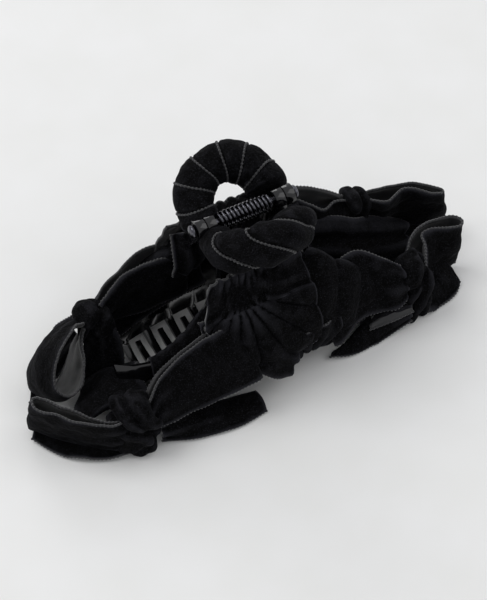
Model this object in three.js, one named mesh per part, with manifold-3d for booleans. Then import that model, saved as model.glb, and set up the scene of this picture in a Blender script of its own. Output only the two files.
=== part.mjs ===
// Claw clip for hair: two moulded jaws on a sprung hinge, covered with velvet ribbon and bows.
// Millimetres. X runs along the hinge, -Y is the front, +Z is up, and z = 0 is the table.
import * as THREE from 'three';
import Module from 'manifold-3d';

const wasm = await Module();
wasm.setup();

// Overall sizes.
const HINGE_HEIGHT = 58;
const JAW_HALF_LENGTH = 52;
const JAW_HALF_WIDTH = 24.6;
const BAND_THICKNESS = 2.2;
const BAND_TOP = rad(60);
const BAND_LOW = rad(-58);
const GAP = 0.4;
const RUN_CLEARANCE = 0.3;

// Teeth.
const TOOTH_PITCH = 9;
const REAR_TEETH = 12;
const FRONT_TEETH = 11;
const TOOTH_WIDTH = 2.6;
const TOOTH_TIP = rad(-116);
const TOOTH_TIP_SHARE = 0.65;
const TOOTH_CLEARANCE = 3;

// Hinge.
const PIN_RADIUS = 1.4;
const PIN_HEAD_RADIUS = 2.4;
const PIN_HEAD_LENGTH = 1.6;
const EYE_RADIUS = 3.6;
const EAR_THICKNESS = 3.2;
const FRONT_EAR_START = 10.8;
const SPRING_RADIUS = 2.6;
const SPRING_WIRE = 0.45;
const SPRING_TURNS = 13;
const SPRING_HALF_LENGTH = 9.8;

// Handles.
const HANDLE_LEAN = rad(57);
const HANDLE_OFFSET = 8;
const HANDLE_RADIUS = 12.75;
const HANDLE_CORE_RADIUS = 2.6;
const WRAP_RADIUS = 6.6;

// Velvet ribbon.
const RIBBON_WIDTH = 22;
const RIBBON_THICKNESS = 1.4;
const COVER_START = BAND_THICKNESS / 2 + GAP;
const COVER_END = 4.4;
const COVER_TOP = BAND_TOP - rad(15);
const COVER_LOW = BAND_LOW + rad(6);
const CENTRE_HALF = 13.5;
const SLEEVE_END = JAW_HALF_LENGTH - 10.5;
const KNOT = { x: JAW_HALF_LENGTH - 2, y: JAW_HALF_WIDTH - 4.1, z: 12 };
const KNOT_HALF = { x: 7.2, y: 7.2, z: 14 };
const LOOP_REACH = 80;
const LOOP_LIFT = 1.9;
const LOOP_TILT = rad(25);
const LOOP_FOLD_RADIUS = 2.6;
const TAIL_TOP = rad(-10);

const VELVET = { color: 0x121214, roughness: 0.95 };
const PLASTIC = { color: 0x08080a, roughness: 0.15 };
const STEEL = { color: 0x1a1a1c, roughness: 0.3, metalness: 1 };

function rad(degrees) {
  return degrees * Math.PI / 180;
}

function mix(a, b, t) {
  return a + (b - a) * t;
}

function smooth(t) {
  const s = Math.min(1, Math.max(0, t));
  return s * s * (3 - 2 * s);
}

function vec(x, y, z) {
  return new THREE.Vector3(x, y, z);
}

// ---- Solids from points ----

// A manifold of the triangles, turned to face outwards.
function solid(points, index) {
  let volume = 0;
  const across = new THREE.Vector3();
  for (let i = 0; i < index.length; i += 3) {
    across.crossVectors(points[index[i + 1]], points[index[i + 2]]);
    volume += points[index[i]].dot(across);
  }
  const turned = [...index];
  if (volume < 0) turned.reverse();
  return new wasm.Manifold(new wasm.Mesh({
    numProp: 3,
    vertProperties: new Float32Array(points.flatMap((p) => [p.x, p.y, p.z])),
    triVerts: new Uint32Array(turned),
  }));
}

// The solid between two surfaces over one grid: face(u, v) gives the point on each.
function slab(nu, nv, face) {
  const points = [];
  const index = [];
  const cols = nv + 1;
  const layer = (nu + 1) * cols;
  for (const side of [0, 1]) {
    for (let i = 0; i <= nu; i++) {
      for (let j = 0; j <= nv; j++) {
        points.push(face(i / nu, j / nv)[side]);
      }
    }
  }
  const quad = (a, b, c, d) => index.push(a, b, c, a, c, d);
  for (let i = 0; i < nu; i++) {
    for (let j = 0; j < nv; j++) {
      const a = i * cols + j;
      quad(a, a + cols, a + cols + 1, a + 1);
      quad(layer + a, layer + a + 1, layer + a + cols + 1, layer + a + cols);
    }
  }
  for (let i = 0; i < nu; i++) {
    const a = i * cols;
    const b = a + nv;
    quad(a, layer + a, layer + a + cols, a + cols);
    quad(b, b + cols, layer + b + cols, layer + b);
  }
  for (let j = 0; j < nv; j++) {
    const a = j;
    const b = nu * cols + j;
    quad(a, a + 1, layer + a + 1, layer + a);
    quad(b, layer + b, layer + b + 1, b + 1);
  }
  return solid(points, index);
}

// A round bar along a path, with flat ends.
function bar(path, radius, sides) {
  const points = [];
  const index = [];
  const spans = path.length - 1;
  let across = null;
  path.forEach((p, i) => {
    const along = vec(0, 0, 0).subVectors(path[Math.min(spans, i + 1)], path[Math.max(0, i - 1)]);
    along.normalize();
    across ??= Math.abs(along.x) > 0.7 ? vec(0, 0, 1) : vec(1, 0, 0);
    across.addScaledVector(along, -across.dot(along)).normalize();
    const third = vec(0, 0, 0).crossVectors(along, across);
    for (let k = 0; k < sides; k++) {
      const turn = 2 * Math.PI * k / sides;
      const point = p.clone().addScaledVector(across, radius * Math.cos(turn));
      points.push(point.addScaledVector(third, radius * Math.sin(turn)));
    }
  });
  const first = points.push(path[0].clone()) - 1;
  const last = points.push(path[spans].clone()) - 1;
  for (let i = 0; i < spans; i++) {
    for (let k = 0; k < sides; k++) {
      const a = i * sides + k;
      const b = i * sides + (k + 1) % sides;
      index.push(a, b, b + sides, a, b + sides, a + sides);
    }
  }
  for (let k = 0; k < sides; k++) {
    const next = (k + 1) % sides;
    index.push(first, next, k, last, spans * sides + k, spans * sides + next);
  }
  return solid(points, index);
}

// A plate with the outline of (y, z) points, from one x to another.
function plate(outline, from, to) {
  const count = outline.length;
  const points = [from, to].flatMap((x) => outline.map(([y, z]) => vec(x, y, z)));
  const flat = outline.map(([y, z]) => new THREE.Vector2(y, z));
  const index = [];
  const backwards = THREE.ShapeUtils.isClockWise(flat);
  for (const [a, b, c] of THREE.ShapeUtils.triangulateShape(flat, [])) {
    const face = [c, b, a, count + a, count + b, count + c];
    index.push(...(backwards ? face.reverse() : face));
  }
  for (let i = 0; i < count; i++) {
    const next = (i + 1) % count;
    index.push(i, next, count + next, i, count + next, count + i);
  }
  return solid(points, index);
}

function disc(radius, from, to, sides = 16) {
  const outline = [];
  for (let k = 0; k < sides; k++) {
    const turn = 2 * Math.PI * k / sides;
    outline.push([radius * Math.cos(turn), HINGE_HEIGHT + radius * Math.sin(turn)]);
  }
  return plate(outline, from, to);
}

// A named mesh of the solid, mirrored to its side: sx is -1 on the left, sy is -1 at the front.
function mesh(name, shape, look, sx = 1, sy = 1) {
  const { vertProperties, triVerts } = shape.getMesh();
  const place = Float32Array.from(vertProperties, (v, i) => v * [sx, sy, 1][i % 3]);
  const faces = Uint32Array.from(triVerts);
  if (sx * sy < 0) faces.reverse();
  const geometry = new THREE.BufferGeometry();
  geometry.setAttribute('position', new THREE.BufferAttribute(place, 3));
  geometry.setIndex(new THREE.BufferAttribute(faces, 1));
  const made = new THREE.Mesh(geometry, new THREE.MeshStandardMaterial(look));
  made.name = name;
  return made;
}

// ---- The jaw's curved surface ----

// The jaw's section at x: half width a, and from its widest point, at height z, it reaches
// b.up towards the hinge and b.down to the teeth.
function section(x) {
  const out = Math.abs(x) / JAW_HALF_LENGTH;
  const a = JAW_HALF_WIDTH * (1 - 0.552 * out ** 2);
  const z = HINGE_HEIGHT * (0.293 - 0.1 * out ** 2);
  const up = HINGE_HEIGHT * 0.438 * (1 - 0.68 * out ** 1.7);
  const crest = HINGE_HEIGHT * (0.26 + 0.4 / (1 + (1.73 * out) ** 4));
  const top = Math.asin(Math.min(Math.sin(BAND_TOP), (crest - z) / up));
  return { a, b: { up, down: z - TOOTH_CLEARANCE }, z, top };
}

// A point of the section, that far outside the band's middle surface.
function onJaw(x, angle, outside) {
  const s = section(x);
  const b = angle > 0 ? s.b.up : s.b.down;
  return vec(x, (s.a + outside) * Math.cos(angle), s.z + (b + outside) * Math.sin(angle));
}

function band(from, to, inside, outside) {
  return slab(20, 9, (u, v) => {
    const x = mix(from, to, u);
    const angle = mix(BAND_LOW, section(x).top, v);
    return [onJaw(x, angle, outside), onJaw(x, angle, inside)];
  });
}

// A tooth follows the section down and in under the hair, and thins to its tip.
function tooth(x) {
  const root = BAND_LOW + rad(4);
  return slab(8, 1, (u, v) => {
    const share = mix(1, TOOTH_TIP_SHARE, u);
    const at = x + (v - 0.5) * TOOTH_WIDTH * share;
    const angle = mix(root, TOOTH_TIP, u);
    const half = BAND_THICKNESS / 2 * share;
    return [half, -half].map((outside) => onJaw(x, angle, outside).setX(at));
  });
}

function teeth(count) {
  const first = -(count - 1) / 2 * TOOTH_PITCH;
  return Array.from({ length: count }, (_, i) => tooth(first + i * TOOTH_PITCH));
}

// ---- Hinge and handles ----

// The ear round the pin, and its web down to the top of the band.
function ear(from, to) {
  const foot = onJaw((from + to) / 2, BAND_TOP - rad(3), 0);
  const along = new THREE.Vector2(foot.y, foot.z - HINGE_HEIGHT).normalize();
  const side = new THREE.Vector2(-along.y, along.x);
  const at = (y, z, wide) => [y + side.x * wide, z + side.y * wide];
  const web = plate([
    at(0, HINGE_HEIGHT, 2.8),
    at(foot.y, foot.z, 1.8),
    at(foot.y, foot.z, -1.8),
    at(0, HINGE_HEIGHT, -2.8),
  ], from, to);
  return disc(EYE_RADIUS, from, to).add(web);
}

function ears(start) {
  const end = start + EAR_THICKNESS;
  const hole = disc(PIN_RADIUS + RUN_CLEARANCE, -JAW_HALF_LENGTH, JAW_HALF_LENGTH);
  return ear(start, end).add(ear(-end, -start)).subtract(hole);
}

// A point on the handle's ring, turned from its right-hand end.
function onHandle(turn) {
  const rise = HANDLE_RADIUS * Math.sin(turn);
  return vec(
    HANDLE_RADIUS * Math.cos(turn),
    HANDLE_OFFSET + rise * Math.sin(HANDLE_LEAN),
    HINGE_HEIGHT + rise * Math.cos(HANDLE_LEAN),
  );
}

function arc(from, to, steps) {
  return Array.from({ length: steps + 1 }, (_, i) => onHandle(rad(mix(from, to, i / steps))));
}

// The core's path: up from the band, round the ring and down again.
function corePath() {
  const foot = onJaw(HANDLE_RADIUS + 0.8, BAND_TOP - rad(3), 0);
  const knee = vec(HANDLE_RADIUS + 0.2, HANDLE_OFFSET + 0.6, HINGE_HEIGHT - 2.6);
  const other = [knee, foot].map((p) => vec(-p.x, p.y, p.z));
  return [foot, knee, ...arc(0, 180, 12), ...other];
}

function handleCore() {
  return bar(corePath(), HANDLE_CORE_RADIUS, 8);
}

function handleWrap() {
  const tube = bar(arc(5, 175, 14), WRAP_RADIUS, 10);
  return tube.subtract(bar(corePath(), HANDLE_CORE_RADIUS + RUN_CLEARANCE, 8));
}

function jaw(toothCount, earStart) {
  const half = BAND_THICKNESS / 2;
  let made = band(-JAW_HALF_LENGTH, JAW_HALF_LENGTH, -half, half);
  for (const one of teeth(toothCount)) made = made.add(one);
  return made.add(handleCore()).add(ears(earStart));
}

function pin() {
  const inner = FRONT_EAR_START + 2 * EAR_THICKNESS + 2 * GAP;
  const outer = inner + PIN_HEAD_LENGTH;
  const shaft = disc(PIN_RADIUS, -outer + 0.5, outer - 0.5);
  return shaft
    .add(disc(PIN_HEAD_RADIUS, inner, outer))
    .add(disc(PIN_HEAD_RADIUS, -outer, -inner));
}

// The spring's coils lie round the pin; each leg runs out along one jaw's inside.
function spring() {
  const path = [];
  const steps = SPRING_TURNS * 10;
  const whole = 2 * Math.PI * (SPRING_TURNS + 0.5);
  path.push(vec(-SPRING_HALF_LENGTH, -SPRING_RADIUS - 1.2, HINGE_HEIGHT - 8));
  for (let i = 0; i <= steps; i++) {
    const turn = Math.PI + whole * i / steps;
    path.push(vec(
      mix(-SPRING_HALF_LENGTH, SPRING_HALF_LENGTH, i / steps),
      SPRING_RADIUS * Math.cos(turn),
      HINGE_HEIGHT + SPRING_RADIUS * Math.sin(turn),
    ));
  }
  path.push(vec(SPRING_HALF_LENGTH, SPRING_RADIUS + 1.2, HINGE_HEIGHT - 8));
  return bar(path, SPRING_WIRE, 5);
}

// ---- Ribbon covers ----

// The pleated fan below the handle.
function fan() {
  return slab(18, 4, (u, v) => {
    const x = mix(-CENTRE_HALF, CENTRE_HALF, u);
    const angle = mix(rad(3), COVER_TOP, v);
    const pleat = 0.6 * Math.cos(u * 18 * Math.PI) * (1 - v);
    return [onJaw(x, angle, COVER_END + pleat), onJaw(x, angle, COVER_START)];
  });
}

// The gathered puff below the fan.
function gather() {
  return slab(8, 5, (u, v) => {
    const x = mix(-CENTRE_HALF, CENTRE_HALF, u);
    const angle = mix(COVER_LOW, rad(1), v);
    const puff = 2.4 * Math.sin(Math.PI * v);
    return [onJaw(x, angle, COVER_END + puff), onJaw(x, angle, COVER_START)];
  });
}

// The ruched sleeve between the centre and a knot.
function sleeve() {
  return slab(9, 8, (u, v) => {
    const x = mix(CENTRE_HALF + GAP, SLEEVE_END, u);
    const angle = mix(COVER_LOW, Math.min(section(x).top, COVER_TOP), v);
    return [onJaw(x, angle, COVER_END), onJaw(x, angle, COVER_START)];
  });
}

// ---- Bows ----

function knot() {
  const rows = 7;
  const sides = 12;
  const points = [vec(KNOT.x, KNOT.y, 0)];
  const index = [];
  for (let i = 1; i < rows; i++) {
    const up = -Math.cos(Math.PI * i / rows);
    const wide = Math.sin(Math.PI * i / rows) ** 0.7;
    for (let k = 0; k < sides; k++) {
      const turn = 2 * Math.PI * k / sides;
      points.push(vec(
        KNOT.x + KNOT_HALF.x * wide * Math.cos(turn),
        KNOT.y + KNOT_HALF.y * wide * Math.sin(turn),
        Math.max(0, KNOT.z + KNOT_HALF.z * up),
      ));
    }
  }
  const top = points.push(vec(KNOT.x, KNOT.y, KNOT.z + KNOT_HALF.z)) - 1;
  const last = top - sides;
  for (let k = 0; k < sides; k++) {
    const next = (k + 1) % sides;
    index.push(0, 1 + next, 1 + k, top, last + k, last + next);
    for (let i = 0; i < rows - 2; i++) {
      const a = 1 + i * sides + k;
      const b = 1 + i * sides + next;
      index.push(a, b, b + sides, a, b + sides, a + sides);
    }
  }
  const room = BAND_THICKNESS / 2 + GAP;
  return solid(points, index).subtract(band(SLEEVE_END, JAW_HALF_LENGTH + GAP, -3 * room, room));
}

// A strip of ribbon: line(u) gives its middle, and its half width and half thickness as vectors.
function strip(steps, line) {
  return slab(steps, 1, (u, v) => {
    const { at, wide, thick } = line(u);
    const point = at.clone().addScaledVector(wide, 2 * v - 1);
    return [point.clone().add(thick), point.sub(thick)];
  });
}

// The loop at the clip's end, standing on edge: out from the knot, round a fold and back.
function outerLoop() {
  const root = vec(KNOT.x + KNOT_HALF.x + 1, KNOT.y - 2, 0);
  const fold = vec(LOOP_REACH, KNOT.y - 9, 0);
  const along = fold.clone().sub(root);
  const reach = along.length() - RIBBON_THICKNESS / 2;
  along.normalize();
  const across = vec(-along.y, along.x, 0);
  const line = (turn) => root.clone()
    .addScaledVector(along, reach * (1 - Math.cos(turn)) / 2)
    .addScaledVector(across, (1.4 + 3.6 * Math.sin(turn / 2)) * Math.sin(turn));
  return strip(16, (u) => {
    const turn = mix(rad(30), rad(330), u);
    const ahead = line(turn + 0.01).sub(line(turn - 0.01)).normalize();
    const half = mix(6, RIBBON_WIDTH / 2, smooth(2.4 * Math.sin(turn / 2) - 0.9));
    const at = line(turn);
    at.z = LOOP_LIFT + RIBBON_WIDTH / 2 * Math.cos(LOOP_TILT);
    return {
      at,
      wide: vec(0, -Math.sin(LOOP_TILT), Math.cos(LOOP_TILT)).multiplyScalar(half),
      thick: vec(-ahead.y, ahead.x, 0).multiplyScalar(RIBBON_THICKNESS / 2),
    };
  });
}

// The loop that lies over the sleeve: along the jaw towards the centre, round a fold and back.
function innerLoop() {
  const near = COVER_END + 3 * GAP + RIBBON_THICKNESS / 2;
  const legSteps = 5;
  const foldSteps = 6;
  const steps = 2 * legSteps + foldSteps;
  return slab(steps, 2, (u, v) => {
    const step = u * steps;
    const turn = Math.PI * Math.min(1, Math.max(0, (step - legSteps) / foldSteps));
    const leg = Math.max(0, legSteps - step, step - legSteps - foldSteps) / legSteps;
    const x = mix(CENTRE_HALF + 2 + LOOP_FOLD_RADIUS, SLEEVE_END - 0.5, leg)
      - LOOP_FOLD_RADIUS * Math.sin(turn);
    const share = smooth((SLEEVE_END - x) / 14);
    const spread = mix(rad(16), RIBBON_WIDTH / 2 / (section(x).a + near), share);
    const angle = mix(rad(12), rad(17), share) + (2 * v - 1) * spread;
    const open = LOOP_FOLD_RADIUS * mix(0.45, 1, share);
    const height = near + open * (1 - Math.cos(turn));
    return [RIBBON_THICKNESS / 2, -RIBBON_THICKNESS / 2].map((out) => onJaw(
      x - out * Math.sin(turn),
      angle,
      height - out * Math.cos(turn),
    ));
  });
}

// The tail that runs along the table below the inner loop, leaning out.
function innerTail() {
  return strip(8, (u) => {
    const x = mix(KNOT.x - KNOT_HALF.x - 0.8, CENTRE_HALF, u);
    const half = mix(3.5, 6.8, smooth(2 * u));
    const edge = onJaw(x, TAIL_TOP, COVER_END);
    return {
      at: vec(x, edge.y + RIBBON_THICKNESS + 0.6 * half, 0.9 + 0.8 * half),
      wide: vec(0, 0.6, -0.8).multiplyScalar(half),
      thick: vec(0, 0.8, 0.6).multiplyScalar(RIBBON_THICKNESS / 2),
    };
  });
}

// The tail that lies on the table below the outer loop.
function outerTail() {
  return strip(6, (u) => ({
    at: vec(mix(KNOT.x + KNOT_HALF.x + 0.8, LOOP_REACH - 4, u), mix(23, 14, u), RIBBON_THICKNESS / 2),
    wide: vec(0.35, 0.94, 0).multiplyScalar(mix(3.5, 7, smooth(1.5 * u))),
    thick: vec(0, 0, RIBBON_THICKNESS / 2),
  }));
}

// ---- The clip ----

function covered(name, toothCount, earStart, sy) {
  const parts = [
    mesh(`${name}_jaw`, jaw(toothCount, earStart), PLASTIC, 1, sy),
    mesh(`${name}_handle_wrap`, handleWrap(), VELVET, 1, sy),
    mesh(`${name}_fan`, fan(), VELVET, 1, sy),
    mesh(`${name}_gather`, gather(), VELVET, 1, sy),
  ];
  for (const [side, sx] of [['left', -1], ['right', 1]]) {
    const bow = `${name}_${side}_bow`;
    parts.push(
      mesh(`${name}_${side}_sleeve`, sleeve(), VELVET, sx, sy),
      mesh(`${bow}_knot`, knot(), VELVET, sx, sy),
      mesh(`${bow}_outer_loop`, outerLoop(), VELVET, sx, sy),
      mesh(`${bow}_inner_loop`, innerLoop(), VELVET, sx, sy),
      mesh(`${bow}_outer_tail`, outerTail(), VELVET, sx, sy),
      mesh(`${bow}_inner_tail`, innerTail(), VELVET, sx, sy),
    );
  }
  return parts;
}

const clip = new THREE.Group();
clip.name = 'claw_clip';
clip.add(
  mesh('hinge_pin', pin(), STEEL),
  mesh('torsion_spring', spring(), STEEL),
  ...covered('front', FRONT_TEETH, FRONT_EAR_START, -1),
  ...covered('rear', REAR_TEETH, FRONT_EAR_START + EAR_THICKNESS + GAP, 1),
);

export default clip;
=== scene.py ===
"""A claw hair clip dressed in black velvet ribbon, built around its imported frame."""

import logging
import math
from dataclasses import dataclass, field
from enum import Enum

import bpy
import numpy as np
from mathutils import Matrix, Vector, noise


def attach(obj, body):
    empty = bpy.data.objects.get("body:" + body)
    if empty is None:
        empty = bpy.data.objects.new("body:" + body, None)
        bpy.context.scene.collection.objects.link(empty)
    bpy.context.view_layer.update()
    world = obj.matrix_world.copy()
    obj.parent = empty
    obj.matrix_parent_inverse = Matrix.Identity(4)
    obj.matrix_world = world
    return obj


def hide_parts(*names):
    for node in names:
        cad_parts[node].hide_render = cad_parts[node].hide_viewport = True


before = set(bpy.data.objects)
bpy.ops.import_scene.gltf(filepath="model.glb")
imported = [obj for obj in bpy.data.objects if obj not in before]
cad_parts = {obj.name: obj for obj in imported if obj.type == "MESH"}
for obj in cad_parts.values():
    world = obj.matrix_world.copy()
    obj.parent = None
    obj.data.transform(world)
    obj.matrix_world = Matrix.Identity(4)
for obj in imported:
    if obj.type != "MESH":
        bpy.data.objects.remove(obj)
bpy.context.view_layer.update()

LOG = logging.getLogger("claw_clip")
MM = 0.001
Point = tuple[float, float, float]


class Body(Enum):
    """The two halves that the hinge joins, and the side of the hinge that each is on."""

    FRONT = "front"
    REAR = "rear"

    @property
    def side(self) -> int:
        """The sign of y on this half."""
        return -1 if self is Body.FRONT else 1


class Held(Enum):
    """How a piece of cloth is held."""

    GATHERED = "gathered"
    FOLDED = "folded"
    LAID = "laid"


# ---- Node helpers ----


def colour(code: str) -> tuple[float, float, float, float]:
    """Turns an sRGB hex colour to linear.

    Args:
        code: six hex digits after a hash.

    Returns:
        Linear red, green, blue and an alpha of 1.
    """
    parts = [int(code[i:i + 2], 16) / 255 for i in (1, 3, 5)]
    linear = [c / 12.92 if c <= 0.04045 else ((c + 0.055) / 1.055) ** 2.4 for c in parts]
    return (*linear, 1.0)


def add(
    tree: bpy.types.NodeTree,
    kind: str,
    inputs: dict[str | int, object] | None = None,
    **settings: object,
) -> bpy.types.Node:
    """Adds a node to a tree.

    Args:
        tree: the node tree.
        kind: the node's type name.
        inputs: a value, or a socket to link from, for each named or numbered input.
        **settings: the node's own properties.

    Returns:
        The node.
    """
    node = tree.nodes.new(kind)
    for name, value in settings.items():
        setattr(node, name, value)
    for key, value in (inputs or {}).items():
        if isinstance(value, bpy.types.NodeSocket):
            tree.links.new(value, node.inputs[key])
        else:
            node.inputs[key].default_value = value
    return node


def blend_colours(
    tree: bpy.types.NodeTree, amount: object, first: str, second: str
) -> bpy.types.NodeSocket:
    """Mixes two colours.

    Args:
        tree: the node tree.
        amount: the socket that gives the share of the second colour.
        first: hex colour at 0.
        second: hex colour at 1.

    Returns:
        The mixed colour's socket.
    """
    ramp = add(tree, "ShaderNodeValToRGB", {"Fac": amount})
    ramp.color_ramp.elements[0].color = colour(first)
    ramp.color_ramp.elements[0].position = 0.3
    ramp.color_ramp.elements[1].color = colour(second)
    ramp.color_ramp.elements[1].position = 0.72
    return ramp.outputs["Color"]


def start_material(name: str) -> tuple[bpy.types.Material, bpy.types.NodeTree, object]:
    """Starts a material.

    Args:
        name: the material's name.

    Returns:
        The material, its tree and its Principled shader.
    """
    material = bpy.data.materials.new(name)
    material.use_nodes = True
    tree = material.node_tree
    return material, tree, tree.nodes["Principled BSDF"]


# ---- Finishes ----


@dataclass(frozen=True)
class VelvetPile:
    """Rayon velvet: a dense dyed pile, black face on, which catches light where it turns away."""

    name: str = "rayon_velvet_pile"
    deep: str = "#020202"
    brushed: str = "#0b0b0d"
    # crease is a painted highlight colour: fold crests are mixed towards it to stand in for the
    # light they catch.
    crease: str = "#303035"
    sheen: str = "#b9b9c4"
    crush_mm: float = 5.0
    tuft_mm: float = 0.45

    def build(self) -> bpy.types.Material:
        """Makes the material: crushed patches, tufts, an edge sheen and a painted highlight on fold
        crests.
        """
        material, tree, shader = start_material(self.name)
        place = add(tree, "ShaderNodeTexCoord").outputs["Object"]
        crush = add(tree, "ShaderNodeTexNoise", {
            "Vector": place, "Scale": 1 / (self.crush_mm * MM), "Detail": 3.0,
            "Roughness": 0.6, "Distortion": 0.8,
        })
        # Real pile is finer than 0.1 mm: it is drawn at tuft size so that it shows.
        tuft = add(tree, "ShaderNodeTexNoise", {
            "Vector": place, "Scale": 1 / (self.tuft_mm * MM), "Detail": 2.0,
        })
        both = add(tree, "ShaderNodeMath", {
            0: crush.outputs["Fac"], 1: tuft.outputs["Fac"],
        }, operation="ADD")
        half = add(tree, "ShaderNodeMapRange", {
            "Value": both.outputs[0], "From Min": 0.8, "From Max": 1.3,
        })
        shade = blend_colours(tree, half.outputs["Result"], self.deep, self.brushed)
        # Painted highlight: fold crests are mixed towards the pale crease colour, standing in for
        # the light they catch.
        shape = add(tree, "ShaderNodeNewGeometry")
        crest = add(tree, "ShaderNodeMapRange", {
            "Value": shape.outputs["Pointiness"], "From Min": 0.515, "From Max": 0.6,
            "To Max": 0.75,
        })
        crest_highlight = add(tree, "ShaderNodeMix", {
            0: crest.outputs["Result"], 6: shade, 7: colour(self.crease),
        }, data_type="RGBA")
        # Sparse pale flecks, in the crease colour, scattered at random over the pile.
        fleck = add(tree, "ShaderNodeTexNoise", {
            "Vector": place, "Scale": 1 / (self.tuft_mm * 0.6 * MM), "Detail": 0.0,
        })
        rare = add(tree, "ShaderNodeMapRange", {
            "Value": fleck.outputs["Fac"], "From Min": 0.66, "From Max": 0.76, "To Max": 0.6,
        })
        flecked = add(tree, "ShaderNodeMix", {
            0: rare.outputs["Result"], 6: crest_highlight.outputs[2], 7: colour(self.crease),
        }, data_type="RGBA")
        tree.links.new(flecked.outputs[2], shader.inputs["Base Color"])
        shader.inputs["Roughness"].default_value = 0.85
        shader.inputs["Specular IOR Level"].default_value = 0.05
        shader.inputs["Sheen Weight"].default_value = 0.05
        shader.inputs["Sheen Roughness"].default_value = 0.3
        shader.inputs["Sheen Tint"].default_value = colour(self.sheen)
        wide = add(tree, "ShaderNodeBump", {
            "Height": crush.outputs["Fac"], "Strength": 0.8, "Distance": 1.2 * MM,
        })
        fine = add(tree, "ShaderNodeBump", {
            "Height": tuft.outputs["Fac"], "Normal": wide.outputs["Normal"],
            "Strength": 0.8, "Distance": 0.25 * MM,
        })
        tree.links.new(fine.outputs["Normal"], shader.inputs["Normal"])
        return material


@dataclass(frozen=True)
class SatinBack:
    """The ribbon's woven satin back: smooth charcoal threads with a soft shine along them."""

    name: str = "satin_weave_back"
    dark: str = "#0c0c0e"
    light: str = "#1b1b1f"
    thread_mm: float = 0.45

    def build(self) -> bpy.types.Material:
        """Makes the material: crossing thread lines on the piece's own UV map."""
        material, tree, shader = start_material(self.name)
        cloth = add(tree, "ShaderNodeUVMap", uv_map="cloth").outputs["UV"]
        turns = {"Vector": cloth, "Scale": 0.32 / (self.thread_mm * MM), "Distortion": 0.6}
        weft = add(tree, "ShaderNodeTexWave", turns, bands_direction="Y")
        warp = add(tree, "ShaderNodeTexWave", turns, bands_direction="X")
        weave = add(tree, "ShaderNodeMath", {
            0: weft.outputs["Fac"], 1: warp.outputs["Fac"],
        }, operation="MULTIPLY")
        shade = blend_colours(tree, weave.outputs[0], self.dark, self.light)
        tree.links.new(shade, shader.inputs["Base Color"])
        shader.inputs["Roughness"].default_value = 0.42
        shader.inputs["Anisotropic"].default_value = 0.5
        shader.inputs["Sheen Weight"].default_value = 0.2
        bump = add(tree, "ShaderNodeBump", {
            "Height": weave.outputs[0], "Strength": 0.4, "Distance": 0.1 * MM,
        })
        tree.links.new(bump.outputs["Normal"], shader.inputs["Normal"])
        return material


@dataclass(frozen=True)
class SelvedgeCord:
    """The ribbon's woven edge: a tight rayon cord, a little lighter than the pile."""

    name: str = "rayon_selvedge_cord"
    dark: str = "#0c0c0e"
    light: str = "#222226"
    ply_mm: float = 0.5

    def build(self) -> bpy.types.Material:
        """Makes the material: fine ply lines and light spots where it is rubbed."""
        material, tree, shader = start_material(self.name)
        place = add(tree, "ShaderNodeTexCoord").outputs["Object"]
        ply = add(tree, "ShaderNodeTexNoise", {
            "Vector": place, "Scale": 1 / (self.ply_mm * MM), "Detail": 2.0,
        })
        shade = blend_colours(tree, ply.outputs["Fac"], self.dark, self.light)
        tree.links.new(shade, shader.inputs["Base Color"])
        shader.inputs["Roughness"].default_value = 0.55
        shader.inputs["Sheen Weight"].default_value = 0.3
        bump = add(tree, "ShaderNodeBump", {
            "Height": ply.outputs["Fac"], "Strength": 0.5, "Distance": 0.1 * MM,
        })
        tree.links.new(bump.outputs["Normal"], shader.inputs["Normal"])
        return material


@dataclass(frozen=True)
class GlossPlastic:
    """Black moulded polystyrene: mirror gloss, with the faint ripple of the mould."""

    name: str = "moulded_gloss_polystyrene"
    dark: str = "#040405"
    light: str = "#0b0b0d"
    ripple_mm: float = 6.0

    def build(self) -> bpy.types.Material:
        """Makes the material: a mould ripple in the gloss and fine handling scuffs."""
        material, tree, shader = start_material(self.name)
        place = add(tree, "ShaderNodeTexCoord").outputs["Object"]
        ripple = add(tree, "ShaderNodeTexNoise", {
            "Vector": place, "Scale": 1 / (self.ripple_mm * MM), "Detail": 1.0,
        })
        scuff = add(tree, "ShaderNodeTexNoise", {
            "Vector": place, "Scale": 900.0, "Detail": 4.0, "Distortion": 2.0,
        })
        shade = blend_colours(tree, ripple.outputs["Fac"], self.dark, self.light)
        tree.links.new(shade, shader.inputs["Base Color"])
        gloss = add(tree, "ShaderNodeMapRange", {
            "Value": scuff.outputs["Fac"], "To Min": 0.05, "To Max": 0.2,
        })
        tree.links.new(gloss.outputs["Result"], shader.inputs["Roughness"])
        shader.inputs["IOR"].default_value = 1.59
        bump = add(tree, "ShaderNodeBump", {
            "Height": ripple.outputs["Fac"], "Strength": 0.25, "Distance": 0.3 * MM,
        })
        tree.links.new(bump.outputs["Normal"], shader.inputs["Normal"])
        return material


@dataclass(frozen=True)
class BlackedSteel:
    """Drawn steel with a black oxide coat: dark, with a clear highlight along the wire."""

    name: str = "black_oxide_steel"
    dark: str = "#3c3c41"
    light: str = "#6a6a70"

    def build(self) -> bpy.types.Material:
        """Makes the material: drawing marks in colour and roughness."""
        material, tree, shader = start_material(self.name)
        place = add(tree, "ShaderNodeTexCoord").outputs["Object"]
        marks = add(tree, "ShaderNodeTexNoise", {
            "Vector": place, "Scale": 1500.0, "Detail": 3.0,
        })
        shade = blend_colours(tree, marks.outputs["Fac"], self.dark, self.light)
        tree.links.new(shade, shader.inputs["Base Color"])
        gloss = add(tree, "ShaderNodeMapRange", {
            "Value": marks.outputs["Fac"], "To Min": 0.12, "To Max": 0.32,
        })
        tree.links.new(gloss.outputs["Result"], shader.inputs["Roughness"])
        shader.inputs["Metallic"].default_value = 1.0
        return material


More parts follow.
